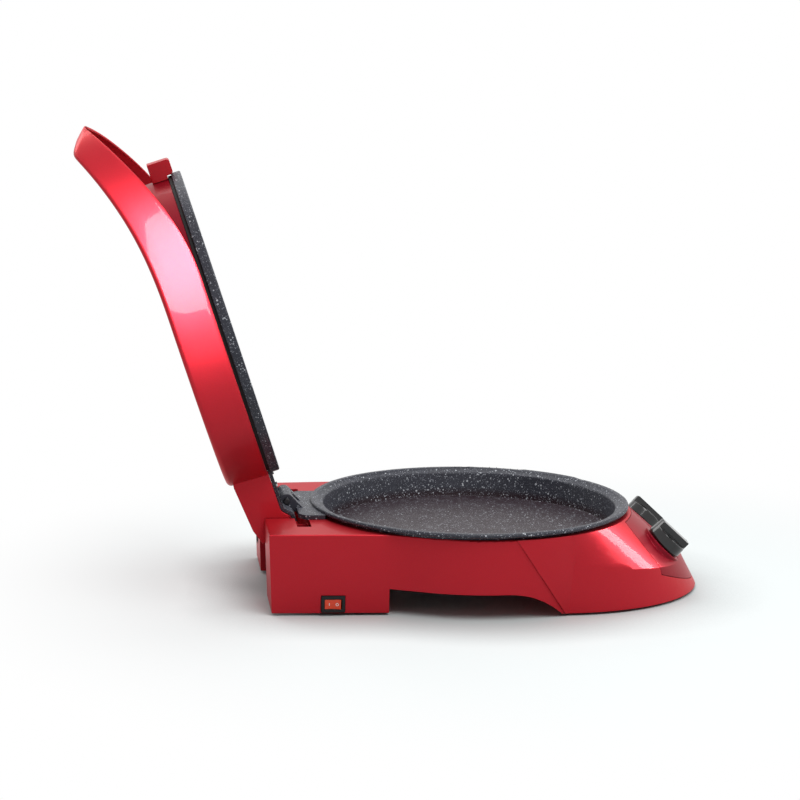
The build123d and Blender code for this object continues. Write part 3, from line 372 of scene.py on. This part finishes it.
def lid_section(turn, notched):
    """One side of the shell from the inside of its wall, round the rim and up to the roof."""
    reach = -lid_point(turn, 0, first_rim_height)[1]
    for _ in range(3):
        low = height_along(reach, rim_profile)
        reach = -lid_point(turn, 0, low)[1]
    high = height_along(-lid_point(turn, 0, first_top_height)[1], top_profile)
    room = max(high - low, thinnest_side)
    wall = min(shell_wall, room * tapered_share)
    round_edge = min(shell_round, room * tapered_share)
    if notched:
        low = notch_roof
        room = high - low
    rows = []
    for share in reversed(wall_shares):
        height = low + share * max(room - wall, 0.0004)
        x, y = lid_point(turn, wall, height)
        rows.append((x, y, height))
    for inset, lift in reversed([(wall - inset, lift) for inset, lift in rim_row]):
        x, y = lid_point(turn, inset, low + lift)
        rows.append((x, y, low + min(lift, room * rim_share)))
    for inset, lift in reversed(rim_row):
        x, y = lid_point(turn, inset, low + lift)
        rows.append((x, y, low + min(lift, room * rim_share)))
    for share in wall_shares:
        height = low + share * max(room - round_edge, 0.0001)
        x, y = lid_point(turn, 0, height)
        rows.append((x, y, height))
    for step in range(1, corner_steps + 1):
        bend = radians(90 * step / corner_steps)
        inset = round_edge * (1 - cos(bend))
        x, y = lid_point(turn, inset, high - round_edge * (1 - sin(bend)))
        rows.append((x, y, height_along(-y, top_profile) - round_edge * (1 - sin(bend))))
    return rows


notch_turn = asin(notch_half_width / lid_radius)
turns = [(notch_turn * step / notch_steps, True) for step in range(notch_steps + 1)]
turns += [
    (notch_turn + (pi - notch_turn) * step / side_steps, False) for step in range(side_steps + 1)
]
points, faces = [], []
for turn, notched in turns:
    side = lid_section(turn, notched)
    outer, inner = side[-1], side[0]
    row = [(-x, y, z) for x, y, z in side]
    for column in range(1, roof_steps):
        x = -outer[0] * (1 - 2 * column / roof_steps)
        row.append((x, outer[1], height_along(-outer[1], top_profile)))
    row += [(x, y, z) for x, y, z in reversed(side)]
    for column in range(1, roof_steps):
        x = inner[0] * (1 - 2 * column / roof_steps)
        row.append((x, inner[1], inner[2]))
    points += row
count = len(points) // len(turns)
for station in range(len(turns) - 1):
    for column in range(count):
        beside = (column + 1) % count
        faces.append((
            station * count + column, station * count + beside,
            (station + 1) * count + beside, (station + 1) * count + column,
        ))
mesh = bpy.data.meshes.new("lid_moulding")
mesh.from_pydata([opening @ (Vector(point) - hinge) + hinge for point in points], [], faces)
lid = bpy.data.objects.new("lid_moulding", mesh)
bpy.context.scene.collection.objects.link(lid)
bpy.ops.object.select_all(action="DESELECT")
lid.select_set(True)
bpy.context.view_layer.objects.active = lid
bpy.ops.object.mode_set(mode="EDIT")
bpy.ops.mesh.select_all(action="SELECT")
bpy.ops.mesh.remove_doubles(threshold=0.00001)
bpy.ops.mesh.normals_make_consistent(inside=False)
bpy.ops.object.mode_set(mode="OBJECT")
bpy.ops.object.shade_smooth_by_angle(angle=radians(40))
finish_with(lid, red_lacquer)
lid_pieces.objects.link(lid)
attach(lid, "lid")
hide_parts("lid_shell")

# Neck, control panel, inner cover and catch: the smaller red mouldings. Two screws hold the
# neck on the plate's tongue, the panel is let into the nose, the cover's ring lies on the
# gasket round the plate's back, and the catch is a block on the cover's front.
moulding_round = 0.0006
# The panel and the inner cover wear a darker copy of the red lacquer: painted shade, for faces
# turned away from the light.
shaded_lacquer = coated_plastic(
    "shaded_red_lacquer", (0.26, 0.007, 0.02), (0.21, 0.005, 0.015), 0.4, 0.36, 0.12,
    edge=lacquer_edge,
)
for name, node, body, paint in (
    ("neck_moulding", "hinge_neck", "lid", red_lacquer),
    ("panel_moulding", "control_panel", "base", shaded_lacquer),
    ("cover_moulding", "inner_cover", "lid", shaded_lacquer),
    ("catch_moulding", "front_catch", "lid", red_lacquer),
):
    piece = rounded_copy(name, node, moulding_round)
    finish_with(piece, paint)
    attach(piece, body)
    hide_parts(node)
    if node == "control_panel":
        nose_pieces.objects.link(piece)


# Lower pan and upper plate: cast aluminium under a charcoal non-stick coat, full of fine pale
# specks of several sizes. The hinge pin is fast in the two ears on the pan's tongue and runs
# in the plate's knuckle between them.
def speckled_coating(name):
    """Charcoal non-stick coat with pale specks, with painted shade and a painted red reflection
    on the pan's floor.
    """
    material = bpy.data.materials.new(name)
    material.use_nodes = True
    tree = material.node_tree
    shader = tree.nodes["Principled BSDF"]
    where = tree.nodes.new("ShaderNodeTexCoord")
    ground = tree.nodes.new("ShaderNodeTexNoise")
    ground.inputs["Scale"].default_value = 60
    ground.inputs["Detail"].default_value = 4
    tree.links.new(where.outputs["Object"], ground.inputs["Vector"])
    tone = tree.nodes.new("ShaderNodeMix")
    tone.data_type = "RGBA"
    tone.inputs["A"].default_value = (0.020, 0.021, 0.029, 1)
    tone.inputs["B"].default_value = (0.048, 0.050, 0.065, 1)
    tree.links.new(ground.outputs["Fac"], tone.inputs["Factor"])
    # Painted shade and painted reflection: below the foot of the wall the coat turns darker and
    # red, as the red mouldings reflect in the pan's floor.
    height = tree.nodes.new("ShaderNodeSeparateXYZ")
    tree.links.new(where.outputs["Object"], height.inputs["Vector"])
    above = tree.nodes.new("ShaderNodeMapRange")
    above.inputs["From Min"].default_value = 0.0600
    above.inputs["From Max"].default_value = 0.0660
    tree.links.new(height.outputs["Z"], above.inputs["Value"])
    painted_red_reflection = tree.nodes.new("ShaderNodeMix")
    painted_red_reflection.data_type = "RGBA"
    painted_red_reflection.inputs["A"].default_value = (0.016, 0.006, 0.010, 1)
    tree.links.new(above.outputs["Result"], painted_red_reflection.inputs["Factor"])
    tree.links.new(tone.outputs["Result"], painted_red_reflection.inputs["B"])
    last = painted_red_reflection.outputs["Result"]
    for scale, size, colour in (
        (250, 0.15, (0.52, 0.54, 0.58, 1)),
        (420, 0.20, (0.42, 0.44, 0.48, 1)),
        (760, 0.24, (0.28, 0.29, 0.33, 1)),
        (1300, 0.26, (0.17, 0.175, 0.20, 1)),
    ):
        specks = tree.nodes.new("ShaderNodeTexVoronoi")
        specks.inputs["Scale"].default_value = scale
        tree.links.new(where.outputs["Object"], specks.inputs["Vector"])
        chance = tree.nodes.new("ShaderNodeSeparateColor")
        tree.links.new(specks.outputs["Color"], chance.inputs["Color"])
        limit = tree.nodes.new("ShaderNodeMapRange")
        limit.inputs["From Min"].default_value = 0.4
        limit.inputs["From Max"].default_value = 1.0
        limit.inputs["To Min"].default_value = 0.0
        limit.inputs["To Max"].default_value = size * 1.6
        tree.links.new(chance.outputs["Red"], limit.inputs["Value"])
        inside = tree.nodes.new("ShaderNodeMath")
        inside.operation = "LESS_THAN"
        tree.links.new(specks.outputs["Distance"], inside.inputs[0])
        tree.links.new(limit.outputs["Result"], inside.inputs[1])
        layer = tree.nodes.new("ShaderNodeMix")
        layer.data_type = "RGBA"
        layer.inputs["B"].default_value = colour
        tree.links.new(inside.outputs[0], layer.inputs["Factor"])
        tree.links.new(last, layer.inputs["A"])
        last = layer.outputs["Result"]
    tree.links.new(last, shader.inputs["Base Color"])
    grain = tree.nodes.new("ShaderNodeTexNoise")
    grain.inputs["Scale"].default_value = 700
    tree.links.new(where.outputs["Object"], grain.inputs["Vector"])
    skin = tree.nodes.new("ShaderNodeBump")
    skin.inputs["Strength"].default_value = 0.12
    skin.inputs["Distance"].default_value = 0.0003
    tree.links.new(grain.outputs["Fac"], skin.inputs["Height"])
    tree.links.new(skin.outputs["Normal"], shader.inputs["Normal"])
    haze = tree.nodes.new("ShaderNodeMapRange")
    haze.inputs["To Min"].default_value = 0.34
    haze.inputs["To Max"].default_value = 0.48
    tree.links.new(ground.outputs["Fac"], haze.inputs["Value"])
    tree.links.new(haze.outputs["Result"], shader.inputs["Roughness"])
    shader.inputs["Specular IOR Level"].default_value = 0.22
    return material


ring_inside, ring_outside = 0.1425, 0.1495
ring_low = 0.0795
ring_slack = 0.0003
longest_facet = 0.03


def is_lip_edge(edge):
    """True for the rings where the pan's wall rolls over into its lip."""
    reaches = [corner.co.xy.length for corner in edge.verts]
    near_lip = (
        max(reaches) < ring_outside and min(reaches) > ring_inside
        and edge.verts[0].co.z > ring_low
    )
    along_ring = abs(reaches[0] - reaches[1]) < ring_slack
    return near_lip and along_ring and edge.calc_length() < longest_facet


casting_round = 0.0006
lip_round = 0.0013
shift_start, shift_rise = 0.062, 0.014
lip_low = 0.0805
opening_shift = 0.0024
wall_inside, wall_outside = 0.144, 0.1481
lip_end, lip_width = 0.153, 0.0066
nonstick = speckled_coating("speckled_nonstick")
for name, node, body, chosen, wide in (
    ("pan_casting", "lower_pan", "base", is_lip_edge, lip_round),
    ("plate_casting", "upper_plate", "lid", None, 0),
):
    piece = rounded_copy(name, node, casting_round, chosen=chosen, wide=wide)
    if node == "lower_pan":
        for corner in piece.data.vertices:
            reach = corner.co.xy.length
            lift = corner.co.z
            on_lip = wall_inside < reach < lip_end and lift > lip_low
            on_wall = wall_inside < reach < wall_outside and lift > shift_start
            if on_lip or on_wall:
                up_the_wall = min(1, (lift - shift_start) / shift_rise)
                across_the_lip = min(1, (lip_end - reach) / lip_width)
                shift = opening_shift * up_the_wall * across_the_lip
                corner.co.x *= 1 + shift / reach
                corner.co.y *= 1 + shift / reach
    finish_with(piece, nonstick)
    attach(piece, body)
    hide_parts(node)

# Knobs: glossy black plastic with a bar grip across a round skirt. Each is pressed on the
# spindle of the control behind the panel.
knob_round = 0.0016
black_gloss = coated_plastic(
    "black_gloss", (0.012, 0.012, 0.013), (0.006, 0.006, 0.007), 0.0, 0.2, 0.6, 0.0
)
for name, node, body in (
    ("left_knob", "temperature_knob", "temperature_knob"),
    ("right_knob", "timer_knob", "timer_knob"),
):
    piece = rounded_copy(name, node, knob_round, steps=4)
    finish_with(piece, black_gloss)
    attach(piece, body)
    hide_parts(node)

# Cord bush: a black rubber ring set in the rear wall of the far block, where the cord comes
# in. It ends nearly flush with the wall.
bush_round = 0.0003
bush_stand = 0.005
bush_flattening = 0.04
foot_rubber = coated_plastic(
    "foot_rubber", (0.025, 0.025, 0.025), (0.018, 0.018, 0.018), 0.0, 0.8, 0.0, 0.0
)
bush = rounded_copy("cord_bush", "cord_inlet", bush_round)
face_y = max(corner.co.y for corner in bush.data.vertices) - bush_stand
for corner in bush.data.vertices:
    corner.co.y = min(corner.co.y, face_y + (corner.co.y - face_y) * bush_flattening)
finish_with(bush, foot_rubber)
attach(bush, "base")
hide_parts("cord_inlet")

# Rocker switch: a satin black frame let into the near block's wall, its case behind, and an
# orange-red rocker on two pivots in it, printed with a white line and a white circle.
switch_round = 0.0003
satin_black = coated_plastic(
    "satin_black", (0.016, 0.016, 0.017), (0.009, 0.009, 0.01), 0.0, 0.42, 0.0, 0.0
)
rocker_red = coated_plastic(
    "rocker_red", (0.80, 0.06, 0.012), (0.70, 0.045, 0.01), 0.0, 0.25, 0.5, 0.0
)
tree = rocker_red.node_tree
shader = tree.nodes["Principled BSDF"]
where = tree.nodes.new("ShaderNodeTexCoord")
plain = shader.inputs["Base Color"].links[0].from_socket
for centre, inner, outer, stretch in (
    ((0, 0.1474, 0.0108), -1, 0.0014, (0, 5, 1)),
    ((0, 0.1402, 0.0108), 0.0009, 0.0014, (0, 1, 1)),
):
    offset = tree.nodes.new("ShaderNodeVectorMath")
    offset.operation = "SUBTRACT"
    offset.inputs[1].default_value = centre
    spread = tree.nodes.new("ShaderNodeVectorMath")
    spread.operation = "MULTIPLY"
    spread.inputs[1].default_value = stretch
    reach = tree.nodes.new("ShaderNodeVectorMath")
    reach.operation = "LENGTH"
    within = tree.nodes.new("ShaderNodeMath")
    within.operation = "LESS_THAN"
    within.inputs[1].default_value = outer
    beyond = tree.nodes.new("ShaderNodeMath")
    beyond.operation = "GREATER_THAN"
    beyond.inputs[1].default_value = inner
    printed = tree.nodes.new("ShaderNodeMath")
    printed.operation = "MULTIPLY"
    ink = tree.nodes.new("ShaderNodeMix")
    ink.data_type = "RGBA"
    ink.inputs["B"].default_value = (0.85, 0.83, 0.8, 1)
    tree.links.new(where.outputs["Object"], offset.inputs[0])
    tree.links.new(offset.outputs["Vector"], spread.inputs[0])
    tree.links.new(spread.outputs["Vector"], reach.inputs[0])
    tree.links.new(reach.outputs["Value"], within.inputs[0])
    tree.links.new(reach.outputs["Value"], beyond.inputs[0])
    tree.links.new(within.outputs[0], printed.inputs[0])
    tree.links.new(beyond.outputs[0], printed.inputs[1])
    tree.links.new(printed.outputs[0], ink.inputs["Factor"])
    tree.links.new(plain, ink.inputs["A"])
    tree.links.new(ink.outputs["Result"], shader.inputs["Base Color"])
    plain = ink.outputs["Result"]
for name, node, body, paint in (
    ("switch_frame", "switch_housing", "base", satin_black),
    ("rocker_key", "rocker_button", "switch_rocker", rocker_red),
):
    piece = rounded_copy(name, node, switch_round)
    finish_with(piece, paint)
    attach(piece, body)
    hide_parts(node)


# Plain pieces that keep the solids' shapes: hinge pin, bottom covers with their screws and
# feet, and the gasket, controls, heating tubes and reflectors inside. The covers are screwed to
# the housing. They are black plastic, rubber, steel, sheet metal and heat-darkened tube.
def worn_metal(name, colour, rough, scale):
    """Bare metal with a fine grain and cloudy gloss."""
    material = bpy.data.materials.new(name)
    material.use_nodes = True
    tree = material.node_tree
    shader = tree.nodes["Principled BSDF"]
    where = tree.nodes.new("ShaderNodeTexCoord")
    grain = tree.nodes.new("ShaderNodeTexNoise")
    grain.inputs["Scale"].default_value = scale
    grain.inputs["Detail"].default_value = 4
    tree.links.new(where.outputs["Object"], grain.inputs["Vector"])
    tone = tree.nodes.new("ShaderNodeMix")
    tone.data_type = "RGBA"
    tone.inputs["A"].default_value = (*[0.75 * share for share in colour], 1)
    tone.inputs["B"].default_value = (*colour, 1)
    tree.links.new(grain.outputs["Fac"], tone.inputs["Factor"])
    tree.links.new(tone.outputs["Result"], shader.inputs["Base Color"])
    haze = tree.nodes.new("ShaderNodeMapRange")
    haze.inputs["To Min"].default_value = rough * 0.7
    haze.inputs["To Max"].default_value = rough * 1.3
    tree.links.new(grain.outputs["Fac"], haze.inputs["Value"])
    tree.links.new(haze.outputs["Result"], shader.inputs["Roughness"])
    skin = tree.nodes.new("ShaderNodeBump")
    skin.inputs["Strength"].default_value = 0.08
    skin.inputs["Distance"].default_value = 0.0002
    tree.links.new(grain.outputs["Fac"], skin.inputs["Height"])
    tree.links.new(skin.outputs["Normal"], shader.inputs["Normal"])
    shader.inputs["Metallic"].default_value = 1
    return material


cover_black = coated_plastic(
    "cover_black", (0.02, 0.02, 0.021), (0.013, 0.013, 0.014), 0.0, 0.5, 0.0, 0.0
)
bright_steel = worn_metal("bright_steel", (0.62, 0.62, 0.60), 0.28, 300)
sheet_metal = worn_metal("sheet_aluminium", (0.78, 0.78, 0.77), 0.35, 120)
heated_tube = worn_metal("heated_tube", (0.16, 0.14, 0.13), 0.45, 200)
blackened_steel = worn_metal("blackened_steel", (0.05, 0.05, 0.055), 0.5, 300)
finishes = {
    "black_plastic": cover_black,
    "rubber": foot_rubber,
    "steel": bright_steel,
    "sheet_metal": sheet_metal,
    "heating_tube": heated_tube,
    "red_plastic": red_lacquer,
    "crimson_plastic": shaded_lacquer,
    "nonstick": nonstick,
    "knob_plastic": black_gloss,
    "switch_plastic": satin_black,
}
for node in nodes.values():
    for holder in node.material_slots:
        holder.material = finishes[holder.material.name]
nodes["hinge_pin"].material_slots[0].material = blackened_steel
